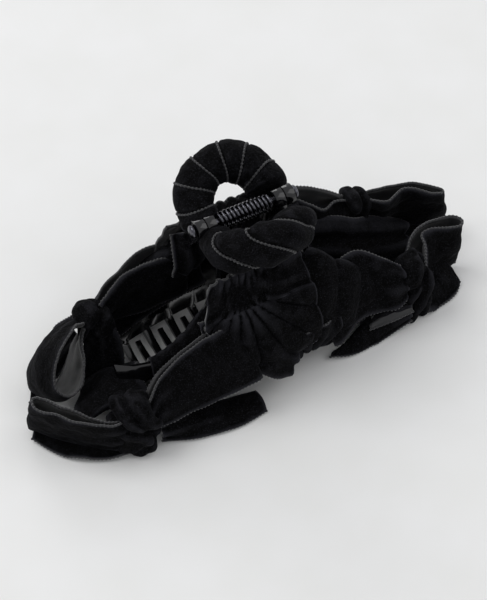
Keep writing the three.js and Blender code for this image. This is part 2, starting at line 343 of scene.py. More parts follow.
@dataclass(frozen=True)
class PaperFloor:
    """A sheet of matt white studio paper."""

    name: str = "studio_paper"

    def build(self) -> bpy.types.Material:
        """Makes the material: white with a trace of paper grain."""
        material, tree, shader = start_material(self.name)
        place = add(tree, "ShaderNodeTexCoord").outputs["Object"]
        grain = add(tree, "ShaderNodeTexNoise", {"Vector": place, "Scale": 40.0})
        shade = blend_colours(tree, grain.outputs["Fac"], "#e6e6e4", "#e9e9e8")
        tree.links.new(shade, shader.inputs["Base Color"])
        shader.inputs["Roughness"].default_value = 0.9
        return material


@dataclass(frozen=True)
class Finishes:
    """Every material, made once."""

    velvet: bpy.types.Material
    satin: bpy.types.Material
    selvedge: bpy.types.Material
    plastic: bpy.types.Material
    steel: bpy.types.Material

    @classmethod
    def make(cls) -> "Finishes":
        """Builds the materials."""
        return cls(
            VelvetPile().build(), SatinBack().build(), SelvedgeCord().build(),
            GlossPlastic().build(), BlackedSteel().build(),
        )

    @property
    def ribbon(self) -> tuple[bpy.types.Material, ...]:
        """The face, the back and the edge of a ribbon."""
        return (self.velvet, self.satin, self.selvedge)


# ---- Shapes ----


def spline(stops: list[np.ndarray], count: int) -> np.ndarray:
    """Draws a smooth curve through stops.

    Args:
        stops: the values it passes through.
        count: how many steps it is cut into.

    Returns:
        count + 1 values along the curve.
    """
    keys = np.array(stops, float)
    ends = np.vstack([2 * keys[0] - keys[1], keys, 2 * keys[-1] - keys[-2]])
    place = np.linspace(0, len(keys) - 1, count + 1)
    first = np.minimum(place.astype(int), len(keys) - 2)
    t = (place - first)[:, None]
    a, b, c, d = (ends[first + i] for i in range(4))
    return b + 0.5 * t * (c - a + t * (2 * a - 5 * b + 4 * c - d + t * (3 * (b - c) + d - a)))


def unit(vectors: np.ndarray) -> np.ndarray:
    """Makes vectors one long."""
    return vectors / np.maximum(np.linalg.norm(vectors, axis=-1, keepdims=True), 1e-9)


def rumple(points: np.ndarray, scale: float, seed: int) -> np.ndarray:
    """Gives smooth noise at points.

    Args:
        points: places in mm, in the last axis.
        scale: the size of the lumps in mm.
        seed: shifts the pattern.

    Returns:
        A value from about -1 to 1 for each point.
    """
    shift = Vector((seed * 7.31, seed * 3.77, seed * 5.13))
    flat = points.reshape(-1, 3)
    values = [noise.noise(Vector(p) / scale + shift) for p in flat]
    return np.array(values).reshape(points.shape[:-1])


def grid_normals(points: np.ndarray) -> np.ndarray:
    """Gives the normal at each point of a grid."""
    return unit(np.cross(np.gradient(points, axis=0), np.gradient(points, axis=1)))


def lay_grid(rows: int, cols: int, start: int, wrap: bool = False) -> list[tuple[int, ...]]:
    """Lists the quads of a grid.

    Args:
        rows: points along.
        cols: points across.
        start: the number of the first point.
        wrap: whether the last column joins the first.

    Returns:
        The quads, which face the way along x across points.
    """
    span = cols if wrap else cols - 1
    return [
        (
            start + i * cols + j,
            start + (i + 1) * cols + j,
            start + (i + 1) * cols + (j + 1) % cols,
            start + i * cols + (j + 1) % cols,
        )
        for i in range(rows - 1) for j in range(span)
    ]


def make_object(
    name: str,
    points: np.ndarray,
    faces: list[tuple[int, ...]],
    materials: tuple[bpy.types.Material, ...],
    slots: list[int] | None = None,
    uvs: np.ndarray | None = None,
) -> bpy.types.Object:
    """Makes a smooth-shaded mesh object.

    Args:
        name: the piece's name.
        points: places in mm.
        faces: the faces.
        materials: the materials in order.
        slots: each face's material number.
        uvs: each point's cloth coordinates in metres.

    Returns:
        The object, at the origin.
    """
    data = bpy.data.meshes.new(name)
    data.from_pydata((points * MM).tolist(), [], faces)
    for material in materials:
        data.materials.append(material)
    if slots is not None:
        data.polygons.foreach_set("material_index", slots)
    if uvs is not None:
        layer = data.uv_layers.new(name="cloth")
        loops = np.zeros(len(data.loops), int)
        data.loops.foreach_get("vertex_index", loops)
        layer.data.foreach_set("uv", uvs[loops].astype(np.float32).ravel())
    data.polygons.foreach_set("use_smooth", [True] * len(data.polygons))
    data.update()
    made = bpy.data.objects.new(name, data)
    bpy.context.scene.collection.objects.link(made)
    return made


def cloth_solid(
    name: str, middle: np.ndarray, thickness: float, finishes: Finishes, pile_up: bool
) -> tuple[bpy.types.Object, tuple[float, float]]:
    """Makes a closed thin sheet of ribbon from its middle surface.

    Args:
        name: the piece's name.
        middle: a grid of points in mm, along by across.
        thickness: in mm.
        finishes: the materials.
        pile_up: whether the pile is on the side of along x across.

    Returns:
        The object, and the flat width and length of its cloth in metres.
    """
    rows, cols, _ = middle.shape
    normals = grid_normals(middle)
    if not pile_up:
        middle = middle[:, ::-1]
        normals = -normals[:, ::-1]
    half = thickness / 2
    steps_along = np.linalg.norm(np.diff(middle, axis=0), axis=2)
    steps_across = np.linalg.norm(np.diff(middle, axis=1), axis=2)
    length = steps_along.sum(0).mean()
    width = steps_across.sum(1).mean()
    along = np.concatenate([[0], np.cumsum(steps_along.mean(1))])
    u, v = np.meshgrid(np.linspace(0, width, cols), along)
    face_uv = np.stack([u, v], axis=-1).reshape(-1, 2) * MM
    points = np.concatenate([
        (middle + normals * half).reshape(-1, 3), (middle - normals * half).reshape(-1, 3),
    ])
    under = rows * cols
    faces = lay_grid(rows, cols, 0)
    slots = [0] * len(faces)
    back = [tuple(reversed(f)) for f in lay_grid(rows, cols, under)]
    faces += back
    slots += [1] * len(back)
    rim = [i * cols for i in range(rows)]
    rim += [(rows - 1) * cols + j for j in range(1, cols)]
    rim += [i * cols + cols - 1 for i in range(rows - 2, -1, -1)]
    rim += [j for j in range(cols - 2, 0, -1)]
    for k, a in enumerate(rim):
        b = rim[(k + 1) % len(rim)]
        faces.append((b, a, a + under, b + under))
        slots.append(2)
    made = make_object(
        name, points, faces, finishes.ribbon, slots, np.concatenate([face_uv, face_uv])
    )
    return made, (width * MM, length * MM)


def closed_rings(
    name: str, rings: np.ndarray, material: bpy.types.Material
) -> bpy.types.Object:
    """Makes a closed form from rings of points, with a point at each end.

    Args:
        name: the piece's name.
        rings: along by round, in mm.
        material: its finish.

    Returns:
        The object.
    """
    rows, cols, _ = rings.shape
    points = np.concatenate([rings.reshape(-1, 3), [rings[0].mean(0)], [rings[-1].mean(0)]])
    faces = lay_grid(rows, cols, 0, wrap=True)
    last = (rows - 1) * cols
    for j in range(cols):
        k = (j + 1) % cols
        faces.append((rows * cols, j, k))
        faces.append((rows * cols + 1, last + k, last + j))
    made = make_object(name, points, faces, (material,))
    if signed_volume(made) < 0:
        made.data.flip_normals()
    return made


def signed_volume(made: bpy.types.Object) -> float:
    """Gives the volume that a mesh's faces enclose, below 0 if they point inwards."""
    made.data.calc_loop_triangles()
    tris = np.array([t.vertices for t in made.data.loop_triangles])
    co = np.zeros(len(made.data.vertices) * 3)
    made.data.vertices.foreach_get("co", co)
    co = co.reshape(-1, 3)
    a, b, c = (co[tris[:, i]] for i in range(3))
    return float((a * np.cross(b, c)).sum() / 6)


@dataclass(frozen=True)
class JawCurve:
    """The curved face of a jaw, which its covers follow (mm)."""

    half_length: float = 52.0
    half_width: float = 24.6
    hinge_height: float = 58.0
    tooth_clearance: float = 3.0
    steepest: float = 60.0

    def point(self, x: float, angle: float, outside: float) -> Point:
        """Gives a point near the jaw.

        Args:
            x: along the clip.
            angle: round the section from its widest point, in degrees.
            outside: distance outside the band's middle surface.

        Returns:
            The point on the rear side.
        """
        turn = math.radians(angle)
        out = min(abs(x) / self.half_length, 1.0)
        a = self.half_width * (1 - 0.552 * out ** 2)
        z = self.hinge_height * (0.293 - 0.1 * out ** 2)
        b = self.hinge_height * 0.438 * (1 - 0.68 * out ** 1.7)
        if angle < 0:
            b = z - self.tooth_clearance
        return (x, (a + outside) * math.cos(turn), z + (b + outside) * math.sin(turn))

    def top(self, x: float) -> float:
        """Gives the angle of the band's upper edge at x, in degrees."""
        out = min(abs(x) / self.half_length, 1.0)
        z = self.hinge_height * (0.293 - 0.1 * out ** 2)
        b = self.hinge_height * 0.438 * (1 - 0.68 * out ** 1.7)
        crest = self.hinge_height * (0.26 + 0.4 / (1 + (1.73 * out) ** 4))
        limit = math.sin(math.radians(self.steepest))
        return math.degrees(math.asin(min(limit, (crest - z) / b)))


JAW = JawCurve()


# ---- Selvedges ----


@dataclass
class SelvedgeTrim:
    """The corded edges of one half's ribbons: a fine core with a bead of thread at each pick."""

    body: Body
    finishes: Finishes
    pitch: float = 1.25
    cord_radius: float = 0.24
    bead_radius: float = 0.5
    lines: list[np.ndarray] = field(default_factory=list)

    def tree(self) -> bpy.types.NodeTree:
        """Builds the tree that lays the cord and its beads along every line."""
        group = bpy.data.node_groups.new("selvedge cord", "GeometryNodeTree")
        face = group.interface
        face.new_socket("Lines", in_out="INPUT", socket_type="NodeSocketGeometry")
        for name in ("Pitch", "Cord Radius", "Bead Radius"):
            face.new_socket(name, in_out="INPUT", socket_type="NodeSocketFloat")
        face.new_socket("Cord", in_out="OUTPUT", socket_type="NodeSocketGeometry")
        given = add(group, "NodeGroupInput").outputs
        ring = add(group, "GeometryNodeCurvePrimitiveCircle", {
            "Resolution": 5, "Radius": given["Cord Radius"],
        })
        core = add(group, "GeometryNodeCurveToMesh", {
            "Curve": given["Lines"], "Profile Curve": ring.outputs["Curve"], "Fill Caps": True,
        })
        picks = add(group, "GeometryNodeCurveToPoints", {
            "Curve": given["Lines"], "Length": given["Pitch"],
        }, mode="LENGTH")
        bead = add(group, "GeometryNodeMeshUVSphere", {
            "Segments": 6, "Rings": 4, "Radius": given["Bead Radius"],
        })
        beads = add(group, "GeometryNodeInstanceOnPoints", {
            "Points": picks.outputs["Points"], "Instance": bead.outputs["Mesh"],
            "Rotation": picks.outputs["Rotation"], "Scale": (1.0, 1.0, 0.85),
        })
        both = add(group, "GeometryNodeJoinGeometry")
        group.links.new(core.outputs["Mesh"], both.inputs[0])
        group.links.new(beads.outputs["Instances"], both.inputs[0])
        real = add(group, "GeometryNodeRealizeInstances", {0: both.outputs[0]})
        smooth = add(group, "GeometryNodeSetShadeSmooth", {0: real.outputs[0]})
        dressed = add(group, "GeometryNodeSetMaterial", {
            "Geometry": smooth.outputs[0], "Material": self.finishes.selvedge,
        })
        add(group, "NodeGroupOutput", {0: dressed.outputs[0]})
        return group

    def build(self) -> bpy.types.Object:
        """Makes the trim of this half and hands it to its body."""
        curve = bpy.data.curves.new("selvedge lines", "CURVE")
        curve.dimensions = "3D"
        for line in self.lines:
            path = curve.splines.new("POLY")
            path.points.add(len(line) - 1)
            places = np.concatenate([line * MM, np.ones((len(line), 1))], axis=1)
            path.points.foreach_set("co", places.ravel())
        values = {
            "Pitch": self.pitch, "Cord Radius": self.cord_radius,
            "Bead Radius": self.bead_radius,
        }
        made = grow(f"{self.body.value}_selvedges", curve, self.tree(), values)
        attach(made, self.body.value)
        return made


def grow(
    name: str,
    data: bpy.types.Curve,
    tree: bpy.types.NodeTree,
    sizes: dict[str, float],
) -> bpy.types.Object:
    """Runs a geometry tree on a curve and keeps the result as a plain mesh.

    Args:
        name: the piece's name.
        data: the curve.
        tree: the geometry tree.
        sizes: its named inputs in mm.

    Returns:
        The mesh object.
    """
    source = bpy.data.objects.new(name + "_lines", data)
    bpy.context.scene.collection.objects.link(source)
    modifier = source.modifiers.new("grow", "NODES")
    modifier.node_group = tree
    for item in tree.interface.items_tree:
        if item.in_out == "INPUT" and item.name in sizes:
            modifier[item.identifier] = sizes[item.name] * MM
    evaluated = source.evaluated_get(bpy.context.evaluated_depsgraph_get())
    mesh = bpy.data.meshes.new_from_object(evaluated)
    mesh.name = name
    bpy.data.objects.remove(source)
    made = bpy.data.objects.new(name, mesh)
    bpy.context.scene.collection.objects.link(made)
    return made


# ---- Ribbons ----


@dataclass(frozen=True)
class Stop:
    """A place on a ribbon's middle line, the way its width lies there, and its width (mm)."""

    at: Point
    across: Point
    width: float = 22.0


@dataclass
class Ribbon:
    """A length of velvet ribbon along its stops.

    crown bows its width out, pleat is the depth of the folds at its pinched ends, and reach is
    how far those folds run. pile_up says which side of along x across the pile is on.
    """

    name: str
    body: Body
    stops: tuple[Stop, ...]
    replaces: tuple[str, ...] = ()
    held: Held = Held.FOLDED
    pile_up: bool = True
    crown: float = 0.6
    pleat: float = 0.9
    pleats: float = 2.5
    reach: float = 9.0
    pinch: tuple[bool, bool] = (True, True)
    wave: float = 0.5
    crumple: float = 0.9
    fine_crumple: float = 0.25
    row_pitch: float = 0.9
    thickness: float = 0.8
    seed: int = 1

    def middle(self) -> np.ndarray:
        """Lays out the ribbon's middle surface, as a grid along by across."""
        at = np.array([s.at for s in self.stops], float)
        count = int(np.linalg.norm(np.diff(at, axis=0), axis=1).sum() / self.row_pitch) + 8
        line = spline(list(at), count)
        across = unit(spline([unit(np.array(s.across, float)) for s in self.stops], count))
        width = spline([np.array([s.width]) for s in self.stops], count)
        tangent = unit(np.gradient(line, axis=0))
        normal = unit(np.cross(tangent, across))
        if not self.pile_up:
            normal = -normal
        v = np.linspace(-1, 1, 17)
        run = np.concatenate([[0], np.cumsum(np.linalg.norm(np.diff(line, axis=0), axis=1))])
        fold = np.zeros_like(run)
        if self.pinch[0]:
            fold += np.exp(-run / self.reach)
        if self.pinch[1]:
            fold += np.exp(-(run[-1] - run) / self.reach)
        crease = np.cos(math.pi * self.pleats * v + self.seed)[None, :] * fold[:, None]
        lift = self.crown * (1 - v ** 2)[None, :] + self.pleat * crease
        grid = line[:, None] + across[:, None] * (v[None, :, None] * width[:, None] / 2)
        edge = np.abs(v)[None, :] ** 2
        lift = lift + self.wave * edge * rumple(grid, 9.0, self.seed)
        lift = lift + self.crumple * rumple(grid, 8.0, self.seed + 9)
        lift = lift + self.fine_crumple * rumple(grid, 3.0, self.seed + 4)
        return grid + normal[:, None] * lift[..., None]

    def build(self, finishes: Finishes, trim: SelvedgeTrim) -> bpy.types.Object:
        """Makes the ribbon, dresses it and adds its edges to the trim.

        Args:
            finishes: the materials.
            trim: the selvedges of this half.

        Returns:
            The piece.
        """
        middle = self.middle()
        middle[..., 2] = np.maximum(middle[..., 2], self.thickness)
        made, flat = cloth_solid(self.name, middle, self.thickness, finishes, self.pile_up)
        trim.lines += [middle[:, 0], middle[:, -1]]
        hand_over(made, self.body, self.replaces)
        return made


def hand_over(made: bpy.types.Object, body: Body, replaces: tuple[str, ...]) -> None:
    """Puts a ribbon piece on its body.

    Args:
        made: the piece.
        body: the half that it moves with.
        replaces: the CAD nodes that it stands for.
    """
    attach(made, body.value)
    if replaces:
        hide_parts(*replaces)


# ---- Covers on the jaws ----


@dataclass(frozen=True)
class Gather:
    """Pleats that run out from one stitched point: its place on the jaw, and their size (mm)."""

    x: float
    angle: float
    count: float = 9.0
    depth: float = 1.0
    reach: float = 16.0


@dataclass
class JawCover:
    """Ribbon laid over a stretch of jaw, from its lower edge up and over its top.

    low and high are its lowest and highest angles outside. inner is the lowest angle inside,
    or None where the ribbon stops at the top. collar is a point in y and z that the top is
    carried up to, narrowed by taper. ruche and fold_every are the depth and spacing of its folds,
    which drift along the jaw as they rise. puff is how far its middle swells.
    """

    name: str
    body: Body
    left: float
    right: float
    replaces: tuple[str, ...]
    low: float = -50.0
    high: float = 58.0
    inner: float | None = None
    collar: tuple[float, float] | None = None
    lift: float = 2.2
    puff: float = 1.0
    ruche: float = 1.5
    fold_every: float = 8.0
    drift: float = 0.5
    gathers: tuple[Gather, ...] = ()
    thickness: float = 0.9
    padding: float = 0.8
    lining_depth: float = 2.6
    taper: float = 0.86
    row_pitch: float = 0.55
    dimple: float = 2.2
    dimple_reach: float = 3.2
    crumple: float = 0.9
    fine_crumple: float = 0.3
    seed: int = 1

    def profile(self, x: float) -> list[Point]:
        """Lists the cover's section at x, from its lower edge."""
        top = min(JAW.top(x), self.high)
        lift = self.lift + self.padding
        keys = [JAW.point(x, a, lift) for a in np.linspace(self.low, top, 9)]
        if self.collar:
            y, z = self.collar
            keys.append((x * self.taper, y, z))
        if self.inner is not None:
            edge = JAW.point(x, top, 0)
            keys.append((x, edge[1] - 0.6, edge[2] + lift + 0.4))
            down = np.linspace(top - 4, self.inner, 5)
            keys += [JAW.point(x, a, -self.lining_depth) for a in down]
        return keys

    def middle(self) -> np.ndarray:
        """Lays out the cover's middle surface, as a grid along x by up the jaw."""
        span = self.right - self.left
        rows = int(span / self.row_pitch) + 6
        xs = np.linspace(self.left, self.right, rows)
        cols = 56 if self.inner is None else 80
        grid = np.array([spline([np.array(p) for p in self.profile(x)], cols) for x in xs])
        v = np.linspace(0, 1, cols + 1)[None, :]
        u = np.linspace(0, 1, rows)[:, None]
        bend = 3.0 * rumple(grid, 16.0, self.seed) + self.drift * 6 * (v - 0.5)
        fold = np.cos(math.pi * (xs[:, None] + bend) / self.fold_every)
        ridge = self.ruche * (np.abs(fold) ** 0.75 - 0.5)
        lift = ridge + self.puff * np.sin(math.pi * v) * np.sin(math.pi * u) ** 0.4
        step = np.linalg.norm(np.diff(grid, axis=1), axis=2)
        run = np.concatenate([np.zeros((rows, 1)), np.cumsum(step, axis=1)], axis=1)
        for gather in self.gathers:
            centre = np.array(JAW.point(gather.x, gather.angle, self.lift))
            off = grid - centre
            near = np.linalg.norm(off, axis=2).argmin()
            rise = run - run.ravel()[near]
            away = np.hypot(off[..., 0], rise)
            turn = np.arctan2(rise, off[..., 0])
            share = np.exp(-(away / gather.reach) ** 4)
            pleat = np.abs(np.cos(gather.count * turn / 2)) ** 0.6 * 2 - 1
            dimple = -self.dimple * np.exp(-(away / self.dimple_reach) ** 2)
            soft = np.clip((away - 1.5) / 7, 0, 1)
            gathered = gather.depth * pleat * soft + dimple + self.padding
            lift = lift * (1 - share) + share * gathered
        lift = lift + self.crumple * rumple(grid, 7.0, self.seed + 5)
        lift = lift + self.fine_crumple * rumple(grid, 3.0, self.seed + 6)
        return grid - grid_normals(grid) * lift[..., None]

    def build(self, finishes: Finishes, trim: SelvedgeTrim) -> bpy.types.Object:
        """Makes the cover on its own half.

        Args:
            finishes: the materials.
            trim: the selvedges of this half.

        Returns:
            The piece.
        """
        middle = self.middle() * np.array([1, self.body.side, 1])
        middle[..., 2] = np.maximum(middle[..., 2], self.thickness)
        made, flat = cloth_solid(
            self.name, middle, self.thickness, finishes, self.body is Body.FRONT
        )
        trim.lines += [middle[:, 0], middle[:, -1]]
        hand_over(made, self.body, self.replaces)
        return made


# ---- Knots and wraps ----


@dataclass(frozen=True)
class Crease:
    """A fold line over a knot: its slope from level in degrees, and its height (mm)."""

    slope: float
    height: float
    depth: float = 1.3
    width: float = 1.1


@dataclass
class Knot:
    """The ribbon wrap that pinches a bow: a soft lump with fold lines over it (mm)."""

    name: str
    body: Body
    at: Point
    half: Point = (7.6, 7.4, 13.5)
    lean: tuple[float, float] = (0.0, 0.0)
    creases: tuple[Crease, ...] = ()
    replaces: tuple[str, ...] = ()
    lump: float = 1.6
    fine_lump: float = 0.5
    seed: int = 1

    def build(self, finishes: Finishes, trim: SelvedgeTrim) -> bpy.types.Object:
        """Makes the knot.

        Args:
            finishes: the materials.
            trim: the selvedges of this half. A knot adds none.

        Returns:
            The piece.
        """
        up = np.linspace(-1, 1, 61)[1:-1, None]
        turn = np.linspace(0, 2 * math.pi, 97)[None, :-1]
        waist = (1 - np.abs(up) ** 3.2) ** 0.5
        box = (np.abs(np.cos(turn)) ** 3 + np.abs(np.sin(turn)) ** 3) ** (-1 / 3)
        wide = waist * box * 0.95
        rings = np.stack([
            self.half[0] * wide * np.cos(turn), self.half[1] * wide * np.sin(turn),
            self.half[2] * up + 0 * turn,
        ], axis=-1)
        out = unit(rings)
        lift = self.lump * rumple(rings, 6.5, self.seed)
        lift = lift + self.fine_lump * rumple(rings, 2.8, self.seed + 3)
        for crease in self.creases:
            slope = math.radians(crease.slope)
            off = rings[..., 2] * math.cos(slope) - rings[..., 0] * math.sin(slope)
            off = off - crease.height + 1.2 * rumple(rings, 9.0, self.seed + 7)
            lift = lift - crease.depth * np.exp(-(off / crease.width) ** 2)
            lift = lift + 0.5 * crease.depth * np.exp(-((np.abs(off) - 2.6) / 1.6) ** 2)
        rings = rings + out * lift[..., None]
        rings = rings + rings[..., 2:] * np.array([self.lean[0], self.lean[1], 0])
        rings = rings + np.array(self.at)
        rings[..., 2] = np.maximum(rings[..., 2], 0.3)
        made = closed_rings(self.name, rings, finishes.velvet)
        hand_over(made, self.body, self.replaces)
        return made


@dataclass
class HandleWrap:
    """Ribbon wound round a handle's ring, each turn lapping the last (mm and degrees)."""

    body: Body
    turns: int
    first: float = -14.0
    last: float = 194.0
    centre_y: float = 8.0
    centre_z: float = 56.3
    ring: float = 12.75
    radius: float = 6.9
    lean: float = 57.0
    lap: float = 0.2
    slant: float = 0.12
    rings_a_turn: int = 16
    tip_rounding: float = 2.2
    lump: float = 1.1
    fine_lump: float = 0.35
    seed: int = 3

    def build(self, finishes: Finishes, trim: SelvedgeTrim) -> bpy.types.Object:
        """Makes the wound tube, with a selvedge at each lap.

        Args:
            finishes: the materials.
            trim: the selvedges of this half.

        Returns:
            The piece.
        """
        each = self.rings_a_turn
        rows = self.turns * each + 1
        share = np.linspace(0, 1, rows)[:, None]
        round_ = np.linspace(0, 2 * math.pi, 49)[None, :-1]
        skew = self.slant * np.sin(round_)
        turn = np.radians(self.first + (self.last - self.first) * share) + skew
        phase = (share * self.turns) % 1.0
        phase[-1] = 1.0
        bulge = np.clip(np.sin(math.pi * (0.02 + 0.9 * phase)), 0, 1) ** 0.3
        tip = np.minimum(share, 1 - share) * self.turns * self.tip_rounding
        close = np.sqrt(np.clip(1 - (1 - np.minimum(tip, 1)) ** 2, 0.02, 1))
        thick = self.radius * (1 - self.lap + self.lap * bulge) * close
        way = np.radians(self.lean)
        out = np.stack([
            np.cos(turn), np.sin(turn) * math.sin(way), np.sin(turn) * math.cos(way),
        ], axis=-1)
        across = np.array([0, -math.cos(way), math.sin(way)])
        middle = np.array([0, self.centre_y, self.centre_z])
        rings = middle + out * (self.ring + thick * np.cos(round_))[..., None]
        rings = rings + across * (thick * np.sin(round_))[..., None]
        bump = self.lump * rumple(rings, 8.0, self.seed)
        bump = bump + self.fine_lump * rumple(rings, 3.0, self.seed + 1)
        outward = out * np.cos(round_)[..., None] + across * np.sin(round_)[..., None]
        rings = rings + outward * bump[..., None]
        rings = rings * np.array([1, self.body.side, 1])
        name = f"{self.body.value}_handle_velvet"
        made = closed_rings(name, rings, finishes.velvet)
        hand_over(made, self.body, (f"{self.body.value}_handle_wrap",))
        for k in range(1, self.turns):
            ring = rings[k * each + 1]
            trim.lines.append(np.vstack([ring, ring[:1]]))
        return made


# ---- Moulding and hinge ----


@dataclass
class Moulding:
    """A jaw's plastic moulding, with its edges softened as a mould leaves them (mm)."""

    body: Body
    edge: float = 0.35

    def build(self, finishes: Finishes) -> bpy.types.Object:
        """Makes a rounded copy of the CAD jaw and puts it in its place."""
        node = f"{self.body.value}_jaw"
        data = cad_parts[node].data.copy()
        data.materials.clear()
        data.materials.append(finishes.plastic)
        made = bpy.data.objects.new(f"{self.body.value}_jaw_moulding", data)
        bpy.context.scene.collection.objects.link(made)
        weld = made.modifiers.new("weld", "WELD")
        weld.merge_threshold = 0.002 * MM
        bevel = made.modifiers.new("edge", "BEVEL")
        bevel.width = self.edge * MM
        bevel.segments = 2
        bevel.limit_method = "ANGLE"
        bevel.angle_limit = math.radians(40)
        bevel.use_clamp_overlap = True
        plain = made.evaluated_get(bpy.context.evaluated_depsgraph_get())
        mesh = bpy.data.meshes.new_from_object(plain)
        made.modifiers.clear()
        made.data = mesh
        mesh.polygons.foreach_set("use_smooth", [True] * len(mesh.polygons))
        mesh.set_sharp_from_angle(angle=math.radians(38))
        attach(made, self.body.value)
        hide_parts(node)
        return made


@dataclass
class Hinge:
    """The pin and the coiled spring round it (mm)."""

    height: float = 58.0
    pin_radius: float = 1.4
    head_radius: float = 2.4
    reach: float = 19.6
    coil_radius: float = 2.6
    wire: float = 0.5
    coils: float = 13.5
    coil_half: float = 9.8

    def pin(self, finishes: Finishes) -> bpy.types.Object:
        """Makes the pin, turned with a domed head at each end."""
        half = [
            (self.reach, 0.3), (self.reach, 1.2), (self.reach - 0.3, 2.0),
            (self.reach - 0.7, self.head_radius), (self.reach - 1.4, self.head_radius),
            (self.reach - 1.6, 2.2), (self.reach - 1.65, self.pin_radius),
            (self.reach - 2.2, self.pin_radius),
        ]
        outline = [(-x, r) for x, r in half] + [(x, r) for x, r in reversed(half)]
        turn = np.linspace(0, 2 * math.pi, 25)[:-1]
        rings = np.array([
            np.stack([x + 0 * turn, r * np.cos(turn), self.height + r * np.sin(turn)], -1)
            for x, r in outline
        ])
        made = closed_rings("hinge_pin_turned", rings, finishes.steel)
        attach(made, Body.FRONT.value)
        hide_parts("hinge_pin")
        return made

    def tree(self, finishes: Finishes) -> bpy.types.NodeTree:
        """Builds the tree that gives the wire its thickness."""
        group = bpy.data.node_groups.new("spring wire", "GeometryNodeTree")
        face = group.interface
        face.new_socket("Path", in_out="INPUT", socket_type="NodeSocketGeometry")
        face.new_socket("Wire Radius", in_out="INPUT", socket_type="NodeSocketFloat")
        face.new_socket("Wire", in_out="OUTPUT", socket_type="NodeSocketGeometry")
        given = add(group, "NodeGroupInput").outputs
        ring = add(group, "GeometryNodeCurvePrimitiveCircle", {
            "Resolution": 10, "Radius": given["Wire Radius"],
        })
        wire = add(group, "GeometryNodeCurveToMesh", {
            "Curve": given["Path"], "Profile Curve": ring.outputs["Curve"], "Fill Caps": True,
        })
        real = add(group, "GeometryNodeRealizeInstances", {0: wire.outputs[0]})
        smooth = add(group, "GeometryNodeSetShadeSmooth", {0: real.outputs[0]})
        dressed = add(group, "GeometryNodeSetMaterial", {
            "Geometry": smooth.outputs[0], "Material": finishes.steel,
        })
        add(group, "NodeGroupOutput", {0: dressed.outputs[0]})
        return group

    def spring(self, finishes: Finishes) -> bpy.types.Object:
        """Makes the spring: close coils and a leg down to each jaw."""
        share = np.linspace(0, 1, int(self.coils * 24) + 1)
        turn = math.pi + 2 * math.pi * self.coils * share
        line = np.stack([
            self.coil_half * (2 * share - 1),
            self.coil_radius * np.cos(turn),
            self.height + self.coil_radius * np.sin(turn),
        ], axis=-1)
        leg = np.array([self.coil_half, self.coil_radius + 1.2, self.height - 8])
        line = np.vstack([leg * [-1, -1, 1], line, leg])
        curve = bpy.data.curves.new("spring path", "CURVE")
        curve.dimensions = "3D"
        path = curve.splines.new("POLY")
        path.points.add(len(line) - 1)
        places = np.concatenate([line * MM, np.ones((len(line), 1))], axis=1)
        path.points.foreach_set("co", places.ravel())
        made = grow("torsion_spring_wire", curve, self.tree(finishes), {"Wire Radius": self.wire})
        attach(made, Body.FRONT.value)
        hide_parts("torsion_spring")
        return made


# ---- Bows ----


def bow_nodes(body: Body, hand: str, part: str) -> tuple[str, ...]:
    """Names the CAD node of a bow's part."""
    return (f"{body.value}_{hand}_bow_{part}",)


@dataclass
class Bow:
    """A bow: its knot, and the ribbons that come out of it."""

    body: Body
    hand: str
    knot: Knot
    ribbons: tuple[Ribbon, ...]

    def build(self, finishes: Finishes, trim: SelvedgeTrim) -> list[bpy.types.Object]:
        """Makes the knot and its ribbons.

        Args:
            finishes: the materials.
            trim: the selvedges of this half.

        Returns:
            The pieces.
        """
        made = [self.knot.build(finishes, trim)]
        made += [ribbon.build(finishes, trim) for ribbon in self.ribbons]
        return made


